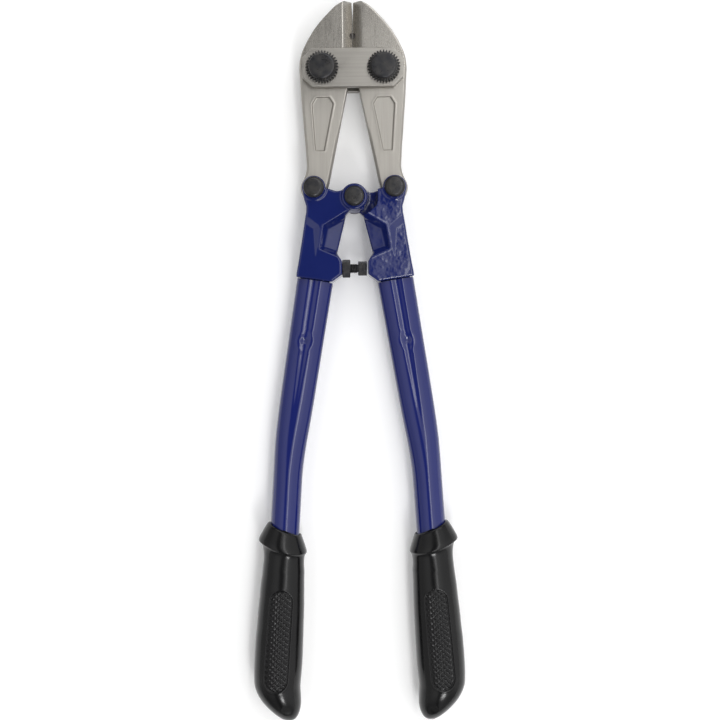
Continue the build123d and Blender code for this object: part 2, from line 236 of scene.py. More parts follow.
# ---------------------------------------------------------------- materials
def material(name, color, metallic, rough, coat=0.0, coat_rough=0.05, specular=0.5, grain=(), tint=None, along=None):
    """A principled material with layered procedural detail. grain: (scale xyz, detail, roughness swing, bump height mm, noise roughness) layers."""
    m = bpy.data.materials.new(name)
    m.use_nodes = True
    nt = m.node_tree
    b = nt.nodes["Principled BSDF"]
    b.inputs["Base Color"].default_value = (*color, 1)
    b.inputs["Metallic"].default_value = metallic
    b.inputs["Roughness"].default_value = rough
    b.inputs["Specular IOR Level"].default_value = specular
    b.inputs["Coat Weight"].default_value = coat
    b.inputs["Coat Roughness"].default_value = coat_rough
    tc = nt.nodes.new("ShaderNodeTexCoord")
    last_normal = None
    rough_sum = None
    for scale, detail, swing, height, nr in grain:
        mp = nt.nodes.new("ShaderNodeMapping")
        mp.inputs["Scale"].default_value = scale
        nt.links.new(tc.outputs["Object"], mp.inputs["Vector"])
        no = nt.nodes.new("ShaderNodeTexNoise")
        no.inputs["Scale"].default_value = 1.0
        no.inputs["Detail"].default_value = detail
        no.inputs["Roughness"].default_value = nr
        nt.links.new(mp.outputs["Vector"], no.inputs["Vector"])
        if swing:
            mr = nt.nodes.new("ShaderNodeMapRange")
            mr.inputs["From Min"].default_value = 0.3
            mr.inputs["From Max"].default_value = 0.7
            mr.inputs["To Min"].default_value = (rough if rough_sum is None else 0) - swing
            mr.inputs["To Max"].default_value = (rough if rough_sum is None else 0) + swing
            nt.links.new(no.outputs["Fac"], mr.inputs["Value"])
            if rough_sum is None:
                rough_sum = mr.outputs["Result"]
            else:
                ad = nt.nodes.new("ShaderNodeMath")
                ad.operation = "ADD"
                ad.use_clamp = True
                nt.links.new(rough_sum, ad.inputs[0])
                nt.links.new(mr.outputs["Result"], ad.inputs[1])
                rough_sum = ad.outputs[0]
        if height:
            bu = nt.nodes.new("ShaderNodeBump")
            bu.inputs["Strength"].default_value = 1.0
            bu.inputs["Distance"].default_value = height * MM
            nt.links.new(no.outputs["Fac"], bu.inputs["Height"])
            if last_normal is not None:
                nt.links.new(last_normal, bu.inputs["Normal"])
            last_normal = bu.outputs["Normal"]
    if along:
        # the finish changes along the piece: (y0, y1, added at y0, added at y1), y in metres
        se = nt.nodes.new("ShaderNodeSeparateXYZ")
        nt.links.new(tc.outputs["Object"], se.inputs[0])
        ma = nt.nodes.new("ShaderNodeMapRange")
        ma.interpolation_type = "SMOOTHSTEP"
        ma.inputs["From Min"].default_value, ma.inputs["From Max"].default_value = along[0], along[1]
        ma.inputs["To Min"].default_value, ma.inputs["To Max"].default_value = along[2], along[3]
        nt.links.new(se.outputs["Y"], ma.inputs["Value"])
        ad = nt.nodes.new("ShaderNodeMath")
        ad.operation = "ADD"
        ad.use_clamp = True
        nt.links.new(rough_sum, ad.inputs[0])
        nt.links.new(ma.outputs["Result"], ad.inputs[1])
        rough_sum = ad.outputs[0]
    if rough_sum is not None:
        nt.links.new(rough_sum, b.inputs["Roughness"])
    if last_normal is not None:
        nt.links.new(last_normal, b.inputs["Normal"])
        if coat:
            nt.links.new(last_normal, b.inputs["Coat Normal"])
    if tint:
        scale, detail, other = tint
        mp = nt.nodes.new("ShaderNodeMapping")
        mp.inputs["Scale"].default_value = scale
        nt.links.new(tc.outputs["Object"], mp.inputs["Vector"])
        no = nt.nodes.new("ShaderNodeTexNoise")
        no.inputs["Scale"].default_value = 1.0
        no.inputs["Detail"].default_value = detail
        nt.links.new(mp.outputs["Vector"], no.inputs["Vector"])
        ra = nt.nodes.new("ShaderNodeValToRGB")
        ra.color_ramp.elements[0].position = 0.35
        ra.color_ramp.elements[0].color = (*color, 1)
        ra.color_ramp.elements[1].position = 0.68
        ra.color_ramp.elements[1].color = (*other, 1)
        nt.links.new(no.outputs["Fac"], ra.inputs["Fac"])
        nt.links.new(ra.outputs["Color"], b.inputs["Base Color"])
    return m


enamel = material("blue_enamel", (0.0066, 0.0128, 0.097), 0.0, 0.34, coat=1.0, coat_rough=0.05, specular=0.0,
                  grain=[((240, 240, 240), 2.0, 0.06, 0.035, 0.4)],
                  tint=((35, 35, 35), 3.0, (0.0080, 0.0150, 0.104)))
enamel_peel = material("blue_enamel_peel", (0.0066, 0.0128, 0.101), 0.0, 0.34, coat=1.0, coat_rough=0.09, specular=0.0,
                       grain=[((330, 330, 330), 1.0, 0.06, 0.13, 0.4), ((120, 120, 120), 1.0, 0.0, 0.29, 0.4)],
                       tint=((35, 35, 35), 3.0, (0.0080, 0.0150, 0.104)))
enamel_tube = material("blue_enamel_tube", (0.0074, 0.0128, 0.114), 0.0, 0.32, coat=1.0, coat_rough=0.05, specular=0.0,
                       grain=[((90, 18, 90), 2.0, 0.06, 0.07, 0.4), ((420, 300, 420), 2.0, 0.0, 0.008, 0.45)],
                       tint=((30, 12, 30), 3.0, (0.0088, 0.0150, 0.126)))
blade = material("blade_steel", (0.40, 0.381, 0.350), 1.0, 0.35,
                 grain=[((2200, 60, 2200), 4.0, 0.03, 0.004, 0.65), ((60, 45, 60), 3.0, 0.03, 0.02, 0.5), ((1300, 1300, 1300), 4.0, 0.02, 0.0015, 0.6)],
                 tint=((700, 20, 700), 4.0, (0.365, 0.347, 0.318)), along=(0.186, 0.140, -0.08, 0.16))
strap_steel = material("ground_steel", (0.37, 0.353, 0.326), 1.0, 0.36,
                       grain=[((70, 2600, 2600), 4.0, 0.05, 0.009, 0.65), ((70, 70, 70), 3.0, 0.05, 0.02, 0.5)],
                       tint=((24, 900, 900), 4.0, (0.325, 0.31, 0.285)))
# painted shade: a dark material put on the jaw notch's floor and walls, where shade falls in the recess
notch_painted_shade = material("painted_shade_notch", (0.060, 0.054, 0.050), 0.5, 0.55,
                       grain=[((900, 900, 900), 3.0, 0.08, 0.01, 0.6)], tint=((300, 300, 300), 3.0, (0.085, 0.078, 0.072)))
oxide = material("black_oxide", (0.034, 0.0345, 0.038), 0.85, 0.34,
                 grain=[((700, 700, 700), 4.0, 0.08, 0.012, 0.6), ((120, 120, 120), 3.0, 0.05, 0.02, 0.5)],
                 tint=((250, 250, 250), 4.0, (0.058, 0.056, 0.055)))
pvc = material("grip_pvc", (0.0042, 0.0042, 0.0046), 0.0, 0.19, specular=0.30,
               grain=[((70, 70, 70), 3.0, 0.04, 0.05, 0.5), ((1400, 1400, 1400), 3.0, 0.02, 0.003, 0.55)],
               tint=((45, 45, 45), 3.0, (0.0058, 0.0058, 0.0062)))
pvc_knurl = pvc


# ---------------------------------------------------------------- jaws
nose = spline([(4.9, 224.95), (9.9, 222.3), (13.45, 219.2), (16.5, 216.0), (19.4, 212.9), (21.9, 209.8), (24.3, 206.7), (26.2, 203.6),
               (28.15, 200.4), (29.7, 197.3), (31.2, 194.2), (32.3, 191.1), (33.05, 188.0), (33.4, 184.8), (33.5, 181.7), (33.1, 175.5),
               (32.8, 169.2), (32.4, 163.0), (31.9, 156.7), (31.3, 149.3), (30.8, 141.8), (30.1, 134.3), (29.7, 126.8), (29.45, 123.0),
               (29.65, 119.3), (30.7, 115.6), (32.3, 112.2)], per=3)
jaw_outline = nose + [(25.2, 108.1), (17.0, 106.8), (15.3, 113.4), (4.05, 168.4), (2.2, 176.0), (0.7, 184.0), (0.05, 190.5), (0.05, 213.6), (0.5, 224.95)]
arm_pocket = fillet([(14.9, 164.8), (23.35, 164.8), (26.0, 160.4), (24.05, 131.2), (18.25, 131.2), (12.35, 160.7)], [0.6, 0.7, 0.9, 0.8, 0.8, 1.2])


def jaw_field(x, y, z):
    w = np.abs(z - ZM)
    d2 = poly(jaw_outline, x, y)
    tail = np.hypot(x - B[0], y - B[1]) - 8.2
    d2 = np.minimum(d2, tail)
    # the grind beside the cutting edge, with its end wall
    on = np.clip((y - 193.4) / 0.7, 0, 1)
    on = on * on * (3 - 2 * on)
    ground = 0.5 + 0.93 * np.maximum(x - 0.05, 0)
    grind = np.maximum(6.0 - ground, 0.0) * on
    top = 6.0 - grind
    # recessed panel in the arm, with a raised lip round it
    dp = poly(arm_pocket, x, y)
    top = top - ramp(-dp * 1.9, 0.95) + 0.12 * np.exp(-((dp - 0.55) / 0.45) ** 2)
    d = meet(d2, w - top, 0.25)
    # forged outer edge: broader bevel away from the cutting edge
    side = np.clip((x - 7.0) / 4.0, 0, 1) * (0.42 + 0.75 * np.clip((194.0 - y) / 14.0, 0, 1))
    d = np.maximum(d, (d2 + w - 6.0 + side) * 0.7071)
    d = np.maximum(d, -np.maximum(np.hypot(x, y - 203.9) - 1.75, 0.42 - w))
    d = cut(d, np.hypot(x - A[0], y - A[1]) - 5.06, 0.3)
    d = cut(d, np.hypot(x - B[0], y - B[1]) - 4.06, 0.3)
    return d


verts, quads = surface(jaw_field, (-0.8, 98.9, 8.4), (34.4, 225.8, 21.6), 0.36)
for side_name, flip in (("right", False), ("left", True)):
    ob = mesh_object(f"blade_{side_name}", verts, quads, blade, flip)
    # the notch's floor and walls get a dark material: painted shade in the recess
    ob.data.materials.append(notch_painted_shade)
    for f in ob.data.polygons:
        cx, cy, cz = f.center
        if abs(math.hypot(cx, cy - 0.2039)) < 0.00185 and f.normal.z ** 2 < 1.1 and (abs(f.normal.z) > 0.9 and abs(cz - 0.015) < 0.0007 or abs(f.normal.z) < 0.45 and math.hypot(cx, cy - 0.2039) > 0.0014):
            f.material_index = 1
    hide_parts(f"jaw_{side_name}")
    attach(ob, f"jaw_{side_name}")

# ---------------------------------------------------------------- handle heads
head_outline = fillet([(-6, 106.6), (6.9, 106.6), (10.9, 105.6), (15.6, 107.3), (25.2, 108.1), (32.0, 104.6), (31.1, 100.2), (29.95, 96.5),
                       (30.1, 92.8), (30.8, 89.1), (31.5, 85.3), (32.6, 77.9), (33.8, 70.4), (35.0, 62.9), (36.4, 55.5), (36.7, 52.8), (14.3, 49.5),
                       (8.1, 54.0), (8.1, 62.1), (11.2, 67.5), (5.3, 91.2), (2.5, 94.0), (-6, 94.0)],
                      [0, 1.5, 5.0, 4.0, 0, 2.0, 6.0, 6.0, 0, 0, 0, 0, 0, 0, 0, 0.8, 1.2, 1.8, 1.8, 2.5, 2.2, 1.5, 0], steps=5)
pocket_outer = fillet([(-4.0, 97.0), (5.0, 93.3), (19.45, 84.6), (22.1, 69.8), (12.0, 65.5), (4.0, 62.0), (-4.0, 62.0)], [0, 1.0, 2.0, 2.2, 1.0, 0, 0])
facet = fillet([(46, 92.0), (29.0, 89.9), (22.5, 84.9), (21.7, 82.6), (24.2, 66.6), (24.6, 50.0), (46, 50.0)], [0, 0.8, 1.2, 1.2, 1.0, 0, 0])
lap_recess = fillet([(-30, 94.4), (11.0, 94.3), (13.8, 96.5), (14.6, 99.5), (14.6, 130.0), (-30, 130.0)], [0, 2.0, 1.2, 1.2, 0, 0])
lean = math.atan(0.1624)


def tang_axis(y):
    return 27.2 + (38.4 - y) * 0.1624


def head_field(x, y, z, lap_in_front):
    """Right-hand head; lap_in_front says which half of the centre lap it keeps."""
    w = np.abs(z - ZM)
    up = z if lap_in_front else 2 * ZM - z
    d2 = poly(head_outline, x, y)
    rb = np.hypot(x - B[0], y - B[1])
    rc = np.hypot(x, y - C[1])
    d2 = join(d2, rb - 7.35, 1.2)
    top = 9.68 + 0.37 * np.clip((8.7 - rb) / 0.8, 0, 1)
    po = poly(pocket_outer, x, y)
    # the web of the window leans down towards the handles' gap
    web = np.clip((-po - 2.6) / 0.9, 0, 1)
    top = top - ramp(-po * 1.6, 4.4) - web * (0.15 + 0.17 * np.clip(18.5 - x, 0, 12)) + 0.12 * np.exp(-((po - 0.55) / 0.5) ** 2)
    sunk = 1.45 * np.clip((y - 64.5) / 19.0, 0, 1)
    inside = np.maximum(-poly(facet, x, y), 0) * 0.36
    k = 0.12
    h = np.clip(0.5 + 0.5 * (sunk - inside) / k, 0, 1)
    top = top - np.maximum(sunk + (inside - sunk) * h - k * h * (1 - h), 0)
    if not lap_in_front:
        # this forging's front face leans a couple of degrees
        top = top - np.where(z > ZM, 1, 0) * 0.030 * np.clip(x - 16.0, -14, 18) * np.clip((rb - 8.5) / 5.0, 0, 1)
    d = meet(d2, w - top, 1.35)
    # lap at the centre pivot
    d = np.maximum(d, -meet(poly(lap_recess, x, y), up - 15.06, 0.2)) if lap_in_front else np.maximum(d, -meet(poly(lap_recess, x, y), up - 15.04, 0.2))
    swept = np.minimum(rc, np.hypot(x - 3.5, y - C[1] + 1.56)) - 9.9
    d = np.maximum(d, -np.maximum(swept, up - 15.05))
    if lap_in_front:
        lap = meet(rc - 9.35 + 0.12 * (up - 15.0), np.abs(up - 20.8) - 5.72, 1.0)
        lap = np.maximum(lap, 15.05 - up)
    else:
        lap = meet(rc - 9.35 + 0.10 * (up - 15.0), np.abs(up - 20.1) - 4.97, 0.8)
        lap = np.maximum(lap, 15.05 - up)
    keep = np.where(up > 15.02, lap, 5.0)
    d = join(d, keep, 0.9) if lap_in_front else join(d, keep, 0.9)
    # slot for the jaw tail
    slot = np.minimum(rb - 9.0, np.maximum(np.maximum(np.abs(x - (B[0] + 1.5)) - 10.6, B[1] - y), y - B[1] - 14))
    d = cut(d, np.maximum(slot, w - 6.1), 0.35)
    d = cut(d, rb - 4.06, 0.3)
    d = cut(d, np.where(up > 15.0, rc, np.hypot(rc, 0)) - (4.05 if lap_in_front else 4.3), 0.3) if lap_in_front else np.maximum(
        d, -(np.minimum(rc, np.minimum(np.hypot(x - 1.75, y - C[1] + 0.6), np.hypot(x - 3.5, y - C[1] + 1.56))) - 4.35))
    # tang going down into the tube
    tx = (x - tang_axis(y)) * math.cos(lean)
    q = np.hypot(tx / 9.1, (z - ZM) / 5.2)
    tang = np.maximum((q - 1.0) * 5.2, np.abs(y - 41.0) - 13.0)
    d = np.minimum(d, tang)
    if lap_in_front:
        d = cut(d, np.maximum(np.hypot(y - 58.15, z - ZM) - 3.03, x - 28.5), 0.3)
    return d


verts, quads = surface(lambda x, y, z: head_field(x, y, z, True), (-10.4, 27.0, 4.0), (38.8, 117.0, 27.6), 0.38)
head_l = mesh_object("fork_head_left", verts, quads, enamel, True)
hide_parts("handle_head_left")
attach(head_l, "handle_left")
# the rear lap faces away, so the field is turned over in z and so is the mesh
verts, quads = surface(lambda x, y, z: head_field(x, y, z, False), (-10.4, 27.0, 4.0), (38.8, 117.0, 26.0), 0.38)
head_r = mesh_object("fork_head_right", verts, quads, enamel_peel)
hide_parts("handle_head_right")
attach(head_r, "handle_right")


# ---------------------------------------------------------------- turned parts
def lathe(profile, cx, cy, segments=96, tooth=None):
    """Revolves (radius, z) points about a vertical axis; both ends close on the axis. tooth(angle, r, z) may change a radius."""
    prof = [p for p in profile if p[0] > 1e-6]
    verts = []
    for r, z in prof:
        for k in range(segments):
            a = 2 * math.pi * k / segments
            rr = tooth(a, r, z) if tooth else r
            verts.append((cx + rr * math.cos(a), cy + rr * math.sin(a), z))
    faces = []
    for i in range(len(prof) - 1):
        for k in range(segments):
            k2 = (k + 1) % segments
            faces.append((i * segments + k, (i + 1) * segments + k, (i + 1) * segments + k2, i * segments + k2))
    zt, zb = prof[0][1], prof[-1][1]
    verts += [(cx, cy, zt), (cx, cy, zb)]
    t, b = len(verts) - 2, len(verts) - 1
    last = (len(prof) - 1) * segments
    for k in range(segments):
        k2 = (k + 1) % segments
        faces.append((t, k, k2))
        faces.append((b, last + k2, last + k))
    return verts, faces


def soft(points, radii, steps=5):
    """Rounds the corners of an open (radius, z) profile."""
    pts = [np.array(p, float) for p in points]
    out = [tuple(pts[0])]
    for i in range(1, len(pts) - 1):
        r = radii[i] if not np.isscalar(radii) else radii
        p, a, b = pts[i], pts[i - 1], pts[i + 1]
        u, v = a - p, b - p
        lu, lv = np.linalg.norm(u), np.linalg.norm(v)
        t = min(r, 0.48 * lu, 0.48 * lv)
        if t < 1e-4:
            out.append(tuple(p))
            continue
        p0, p1 = p + u / lu * t, p + v / lv * t
        for k in range(steps + 1):
            w = k / steps
            out.append(tuple((1 - w) ** 2 * p0 + 2 * w * (1 - w) * p + w * w * p1))
    out.append(tuple(pts[-1]))
    return out


TEETH = 32


def toothed(a, r, z):
    """Radial teeth on the flange: sharp ridges with open gullets."""
    if r < 8.45 or z < 25.0:
        return r
    t = (a * TEETH / (2 * math.pi)) % 1.0
    k = abs(t - 0.5) * 2
    ridge = max(0.0, min(1.0, (k - 0.30) / 0.42))
    return 8.45 + (r - 8.45) * ridge


for side_name, s in (("left", -1), ("right", 1)):
    head = soft([(0.0, 30.95), (7.2, 30.92), (8.1, 30.3), (8.35, 28.6), (9.5, 28.25), (10.25, 27.6), (10.25, 25.4), (10.0, 25.08), (5.0, 25.08), (5.0, 25.0)],
                [0, 0.5, 0.5, 0.3, 0.5, 0.4, 0.3, 0.1, 0.1, 0])
    prof = [(0.9, 30.95), (3.0, 30.95), (5.2, 30.94)] + [p for p in head if p[0] > 5.2 or p[1] < 25.2] + [(5.0, 4.95), (4.0, 4.93), (4.0, 1.1), (3.5, 0.6), (1.5, 0.55)]
    v, f = lathe(prof, s * A[0], A[1], TEETH * 12, toothed)
    ob = mesh_object(f"toothed_bolt_{side_name}", v, f, oxide)
    sharpen(ob, 38)
    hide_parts(f"jaw_bolt_{side_name}")
    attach(ob, "straps")

    head = soft([(0.0, 28.45), (4.9, 28.40), (6.35, 27.35), (6.5, 26.4), (6.5, 25.3), (6.3, 25.07), (4.0, 25.07), (4.0, 24.9)],
                [0, 0.7, 0.7, 0.4, 0.3, 0.1, 0.1, 0])
    prof = [(0.8, 28.45), (2.5, 28.44)] + [p for p in head if p[0] > 2.6] + [(4.0, 1.1), (3.5, 0.6), (1.5, 0.55)]
    v, f = lathe(prof, s * B[0], B[1], 96)
    ob = mesh_object(f"domed_bolt_{side_name}", v, f, oxide)
    sharpen(ob, 50)
    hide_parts(f"tail_bolt_{side_name}")
    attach(ob, f"handle_{side_name}")

head = soft([(0.0, 30.3), (4.9, 30.25), (6.05, 29.3), (6.2, 28.3), (6.2, 26.8), (6.05, 26.52), (4.0, 26.52), (4.0, 26.3)], [0, 0.6, 0.6, 0.4, 0.3, 0.1, 0.1, 0])
v, f = lathe([(0.8, 30.3), (2.5, 30.29)] + [p for p in head if p[0] > 2.6] + [(4.0, 1.1), (3.5, 0.6), (1.5, 0.55)], C[0], C[1], 96)
ob = mesh_object("domed_bolt_centre", v, f, oxide)
sharpen(ob, 50)
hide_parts("centre_bolt")
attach(ob, "handle_left")


# ---------------------------------------------------------------- stop screw: real thread, chamfered hexagons
def hexagon(y, z, af, turn):
    """Distance to a hexagon across the screw's axis."""
    d = None
    for k in range(3):
        a = math.radians(turn + 60 * k)
        q = np.abs((y - 58.15) * math.cos(a) + (z - ZM) * math.sin(a)) - af / 2
        d = q if d is None else np.maximum(d, q)
    return d


def hex_field(x, y, z, x0, x1, af, turn, bore):
    r = np.hypot(y - 58.15, z - ZM)
    d = meet(hexagon(y, z, af, turn), np.maximum(x0 - x, x - x1), 0.15)
    d = np.maximum(d, (r - af * 0.5 - 0.12 - (np.minimum(x - x0, x1 - x)) * 1.73) * 0.5)
    if bore:
        d = cut(d, r - bore, 0.25)
    return d


v, q = surface(lambda x, y, z: hex_field(x, y, z, -8.03, -3.03, 10.0, 23.0, 2.55), (-8.6, 51.6, 8.6), (-2.4, 64.8, 21.4), 0.15)
ob = mesh_object("lock_nut", v, q, oxide)
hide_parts("stop_locknut")
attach(ob, "handle_left")

pitch, rows, seg = 1.0, 420, 48
xs = np.linspace(-23.0, 2.2, rows)
an = 2 * math.pi * np.arange(seg) / seg
X, T = np.meshgrid(xs, an, indexing="ij")
ph = (X / pitch - T / (2 * math.pi)) % 1.0
tri = np.abs(ph - 0.5) * 2
prof_r = 2.50 + 0.48 * np.clip((tri - 0.08) / 0.62, 0, 1)
# the thread runs out below the head and at the end
R = np.where(X > 1.2, 2.45, prof_r)
R = np.where(X < -22.2, np.minimum(R, 2.96 - (-22.2 - X) * 0.9), R)
stem = np.stack([X, 58.15 + R * np.cos(T), ZM + R * np.sin(T)], -1).reshape(-1, 3)
faces = []
for i in range(rows - 1):
    for k in range(seg):
        k2 = (k + 1) % seg
        faces.append((i * seg + k, i * seg + k2, (i + 1) * seg + k2, (i + 1) * seg + k))
faces.append(tuple(range(seg - 1, -1, -1)))
faces.append(tuple((rows - 1) * seg + k for k in range(seg)))
faces = [tuple(reversed(f)) for f in faces]
hv, hq = surface(lambda x, y, z: hex_field(x, y, z, 1.85, 7.4, 8.0, 20.0, 0), (1.2, 52.6, 9.6), (8.1, 63.8, 20.6), 0.15)
allv = np.concatenate([stem, hv])
allf = faces + [tuple(int(a) + len(stem) for a in f) for f in hq]
ob = mesh_object("adjuster_screw", allv, allf, oxide)
sharpen(ob, 55)
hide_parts("stop_screw")
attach(ob, "stop_screw")


# ---------------------------------------------------------------- tubes
knee = (42.8, -57.7)
upper_lean, lower_lean = math.atan(0.1624), math.atan(0.0647)
reach = 15.5


def tube_axis(y):
    ya, yb = knee[1] + reach * math.cos(upper_lean), knee[1] - reach * math.cos(lower_lean)
    if y >= ya:
        return knee[0] - (y - knee[1]) * math.tan(upper_lean), upper_lean
    if y <= yb:
        return knee[0] + (knee[1] - y) * math.tan(lower_lean), lower_lean
    t = (ya - y) / (ya - yb)
    xa, xb = knee[0] - (ya - knee[1]) * math.tan(upper_lean), knee[0] + (knee[1] - yb) * math.tan(lower_lean)
    x = (1 - t) ** 2 * xa + 2 * t * (1 - t) * knee[0] + t * t * xb
    return x, upper_lean + t * (lower_lean - upper_lean)


width_at = ([-210.0, -74.0, -70.0, -62.0, -54.0, -46.0, -37.0, -25.0, -7.0, 12.0, 31.0, 52.0], [18.3, 18.3, 18.35, 18.8, 19.5, 20.2, 20.8, 21.3, 21.7, 22.0, 22.4, 22.8])
thick_at = ([-210.0, -74.0, -70.0, -62.0, -54.0, -46.0, -37.0, -25.0, -7.0, 12.0, 31.0, 52.0], [18.3, 18.3, 18.3, 17.9, 17.4, 16.9, 16.4, 15.9, 15.5, 15.2, 14.9, 14.6])


def smooth_interp(y, table):
    """The table's value, averaged over a few millimetres so that it has no kinks."""
    k = np.linspace(-8, 8, 9)
    w = np.exp(-(k / 4.5) ** 2)
    return float((np.interp(y + k, *table) * w).sum() / w.sum())


dimple = (32.05, 12.9)
ys = np.concatenate([np.arange(50.6, 22.0, -0.8), np.arange(22.0, 4.0, -0.28), np.arange(4.0, -206.0, -0.8), [-206.0]])
seg = 128
ang = 2 * math.pi * np.arange(seg) / seg


def tube_ring(y, inset):
    x0, le = tube_axis(y)
    w, t = smooth_interp(y, width_at) / 2 - inset, smooth_interp(y, thick_at) / 2 - inset
    flat = np.clip((y + 74) / 60, 0, 1)
    e = 2.0 / (2.0 + 0.35 * flat)
    ca, sa = np.cos(ang), np.sin(ang)
    px = w * np.sign(ca) * np.abs(ca) ** e
    pz = t * np.sign(sa) * np.abs(sa) ** e
    xx = x0 + px * math.cos(le)
    yy = y + px * math.sin(le)
    r = np.hypot(xx - dimple[0], yy - dimple[1])
    # the crimp over the tang leaves a shallow valley that fades out below a punched dimple
    valley = float(np.interp(y, [-66, -37, -12, 15, 52], [0, 0.09, 0.30, 0.60, 0.64]))
    half = float(np.interp(y, [-37, -12, 15, 52], [2.3, 2.6, 4.1, 4.4]))
    press = valley * (0.5 + 0.5 * np.cos(math.pi * np.clip((px - 0.3) / half, -1, 1))) * np.clip(r / 5.5, 0, 1)
    press = press + 0.5 * np.clip(1 - (r / 5.6) ** 2, 0, 1) ** 1.5 + 1.1 * np.exp(-(r / 1.7) ** 2) - 0.14 * np.exp(-((r - 6.3) / 1.5) ** 2)
    pz = pz - np.sign(pz) * press * np.clip(np.abs(pz) / t, 0, 1) * (np.abs(pz) > 0.3 * t)
    return np.stack([xx, yy, ZM + pz], -1)


outer = [tube_ring(y, 0) for y in ys]
lip = [tube_ring(50.6, 0.5)]
lip[0][:, 1] += 0.15
inner = [tube_ring(y, 1.6) for y in ys[::-1][::4]] + [tube_ring(ys[0], 1.6)]
rings = outer + inner
n = len(rings)
pts = np.concatenate(rings)
idx = np.arange(n * seg).reshape(n, seg)
q = []
for i in range(n):
    a, b = idx[i], idx[(i + 1) % n]
    q.append(np.stack([a, np.roll(a, -1), np.roll(b, -1), b], 1))
q = np.concatenate(q)
for side_name, flip in (("right", False), ("left", True)):
    ob = mesh_object(f"handle_tube_{side_name}", pts, q, enamel_tube, flip)
    sharpen(ob, 50)
    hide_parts(f"tube_{side_name}")
    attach(ob, f"handle_{side_name}")

# ---------------------------------------------------------------- grips
# (outer x, outer y, inner x, inner y, half depth): slanted rings at the collar, level ones below
grip_rows = [
    ((54.45, -100.9), (36.05, -108.9), 9.25), ((55.2, -100.3), (35.6, -108.6), 10.2), ((56.4, -100.5), (35.4, -109.0), 11.2),
    ((58.4, -103.3), (34.6, -111.2), 12.2), ((60.6, -107.0), (33.3, -115.2), 13.7), ((61.9, -109.4), (32.5, -117.8), 14.6),
    ((62.35, -110.9), (32.3, -119.3), 14.85), ((62.15, -111.4), (32.45, -119.8), 14.65), ((60.9, -112.3), (33.1, -120.7), 13.75), ((60.2, -113.8), (33.6, -121.9), 13.25), ((59.6, -116.6), (33.95, -124.0), 12.85), ((59.35, -121.0), (34.1, -127.0), 12.75), ((59.55, -125.0), (34.0, -129.6), 12.95),
    ((59.9, -128.0), (33.9, -131.6), 13.3), ((60.6, -133.5), (34.0, -135.5), 13.5), ((61.5, -140.0), (34.1, -141.0), 13.7), ((62.2, -147.0), (34.2, -147.0), 13.9),
    ((62.9, -153.0), (34.3, -153.0), 14.1), ((63.6, -159.5), (34.5, -159.5), 14.3), ((64.2, -166.0), (34.8, -166.0), 14.5), ((64.9, -172.0), (35.0, -172.0), 14.7),
    ((65.45, -179.0), (35.3, -179.0), 14.85), ((65.85, -185.0), (35.6, -185.0), 14.9), ((66.15, -191.0), (36.0, -191.0), 14.95), ((66.25, -197.0), (36.6, -197.0), 14.9),
    ((65.9, -202.6), (37.2, -203.2), 14.6), ((64.3, -207.4), (37.0, -209.0), 13.9), ((61.6, -212.0), (36.9, -213.6), 12.6), ((58.0, -216.2), (37.4, -217.6), 10.8),
    ((54.2, -219.8), (38.6, -221.0), 8.4), ((50.6, -222.6), (40.2, -223.4), 5.6), ((47.8, -224.3), (42.0, -224.6), 2.9)]
ctrl = np.array([[o[0], o[1], i[0], i[1], d] for o, i, d in grip_rows])


def resample(table, per):
    """Catmull-Rom through the rows, a few steps between each pair."""
    t = np.concatenate([2 * table[:1] - table[1:2], table, 2 * table[-1:] - table[-2:-1]])
    out = []
    for i in range(1, len(t) - 2):
        k_n = per[i - 1]
        for k in range(k_n):
            u = k / k_n
            out.append(0.5 * ((2 * t[i]) + (-t[i - 1] + t[i + 1]) * u + (2 * t[i - 1] - 5 * t[i] + 4 * t[i + 1] - t[i + 2]) * u * u
                              + (-t[i - 1] + 3 * t[i] - 3 * t[i + 1] + t[i + 2]) * u ** 3))
    out.append(t[-2])
    return np.array(out)


steps = []
for i in range(len(ctrl) - 1):
    dist = max(math.hypot(ctrl[i + 1][0] - ctrl[i][0], ctrl[i + 1][1] - ctrl[i][1]), math.hypot(ctrl[i + 1][2] - ctrl[i][2], ctrl[i + 1][3] - ctrl[i][3]))
    mid = (ctrl[i][1] + ctrl[i + 1][1]) / 2
    steps.append(max(2, int(round(dist / (0.25 if -206 < mid < -139 else 0.8)))))
table = resample(ctrl, steps)

# the knurled panel: a long stadium on the front and the back, in the plane of the mid surface
panel_top, panel_bottom = (47.6, -141.5), (52.2, -203.8)


def panel_distance(x, y):
    """Distance outside the panel's stadium outline, whose sides follow the grip's lean."""
    ax, ay = panel_top[0] + 0.35, panel_top[1] - 7.2
    bx, by = panel_bottom[0] - 0.4, panel_bottom[1] + 7.2
    ex, ey = bx - ax, by - ay
    t = np.clip(((x - ax) * ex + (y - ay) * ey) / (ex * ex + ey * ey), 0, 1)
    return np.hypot(x - ax - ex * t, y - ay - ey * t) - (7.4 + 0.35 * t), t


def knurl(x, y):
    """Small four-sided pyramids on a diagonal lattice."""
    p = 2.35
    k = 0.064
    u, v = x - k * -(y + 172), y + k * (x - 50)
    a = ((u + v) / (p * math.sqrt(2) / 1.0) * 1.0) % 1.0
    b = ((u - v) / (p * math.sqrt(2) / 1.0) * 1.0) % 1.0
    ta, tb = 1 - np.abs(a - 0.5) * 2, 1 - np.abs(b - 0.5) * 2
    return np.minimum(ta, tb)


# angle spacing: dense over the panels at the front and the back
fine = np.concatenate([np.linspace(-0.36, -0.205, 9)[:-1], np.linspace(-0.205, 0.205, 77), np.linspace(0.205, 0.36, 9)[1:]]) * math.pi
coarse = np.linspace(0.36 * math.pi, 0.64 * math.pi, 16)[1:-1]
gang = np.concatenate([math.pi / 2 + fine, math.pi / 2 + coarse, 3 * math.pi / 2 + fine, 3 * math.pi / 2 + coarse])
gseg = len(gang)


